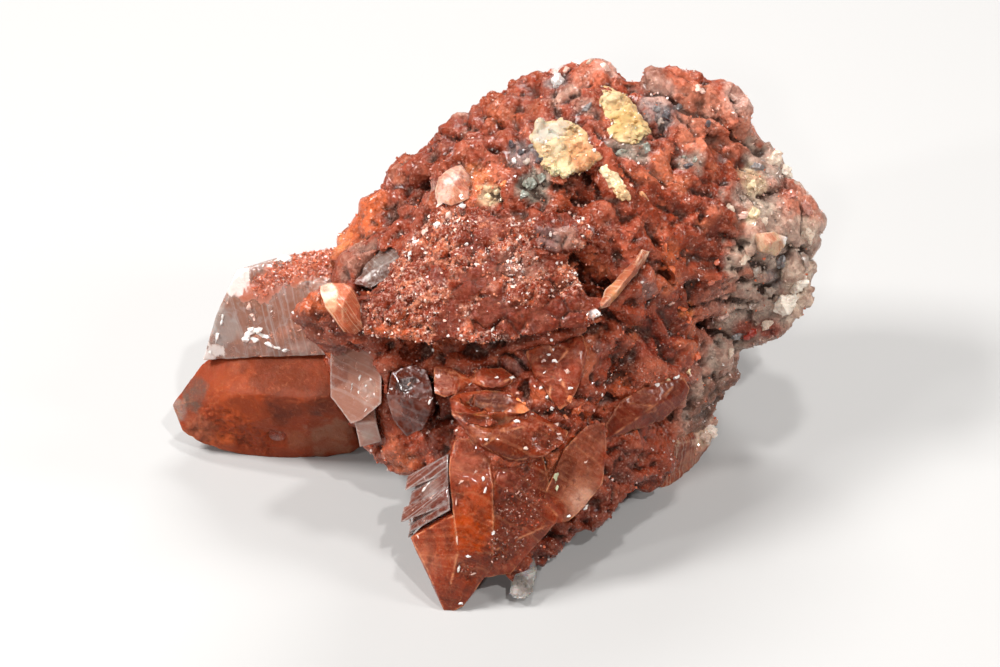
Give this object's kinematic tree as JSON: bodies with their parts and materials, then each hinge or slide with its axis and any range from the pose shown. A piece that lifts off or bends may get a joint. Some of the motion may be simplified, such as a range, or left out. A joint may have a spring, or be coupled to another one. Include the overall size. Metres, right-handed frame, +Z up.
{
  "type": "gypsum crystals on matrix",
  "caption": "Mineral specimen: red and clear gypsum crystals on a rough red clay matrix with pale crust, lying on crystal points and a rock foot.",
  "frame": {"origin": "under the middle of the whole specimen's bounding box, on the surface that it rests on", "axes": "+X to the right across the specimen as displayed, +Y to its back, +Z up"},
  "size_m": [0.0682, 0.0476, 0.0378],
  "materials": {
    "matrix": "rough broken red clay rock",
    "front_crystals": "glossy translucent orange-red",
    "druse_blade": "sparkling granular red",
    "upright_lens": "glossy translucent orange-red",
    "lower_left_crystal": "smooth translucent amber-red",
    "upper_left_crystal": "clear, striped at its end",
    "clear_wedge": "clear, faintly pink",
    "smoky_crystal": "clear, smoky brown",
    "striated_plates": "clear cleavage plates",
    "pale_crystal": "satin, striped cream and orange",
    "blush_crystal": "satin pinkish white",
    "valley_crystal": "clear, greyish",
    "ridge_blade": "satin orange",
    "lower_right_slab": "translucent deep red",
    "lower_right_crystal": "satin red with a whitish point",
    "crest_tip": "satin cream",
    "left_crust": "matt yellow crust",
    "right_crust": "matt yellow crust",
    "white_flake": "satin white"
  },
  "bodies": {
    "root": {"matrix": "matrix", "front_crystals": "front_crystals", "druse_blade": "druse_blade", "upright_lens": "upright_lens", "lower_left_crystal": "lower_left_crystal", "upper_left_crystal": "upper_left_crystal", "clear_wedge": "clear_wedge", "smoky_crystal": "smoky_crystal", "striated_plates": "striated_plates", "pale_crystal": "pale_crystal", "blush_crystal": "blush_crystal", "valley_crystal": "valley_crystal", "ridge_blade": "ridge_blade", "lower_right_slab": "lower_right_slab", "lower_right_crystal": "lower_right_crystal", "crest_tip": "crest_tip", "left_crust": "left_crust", "right_crust": "right_crust", "white_flake": "white_flake"}
  },
  "joints": []
}
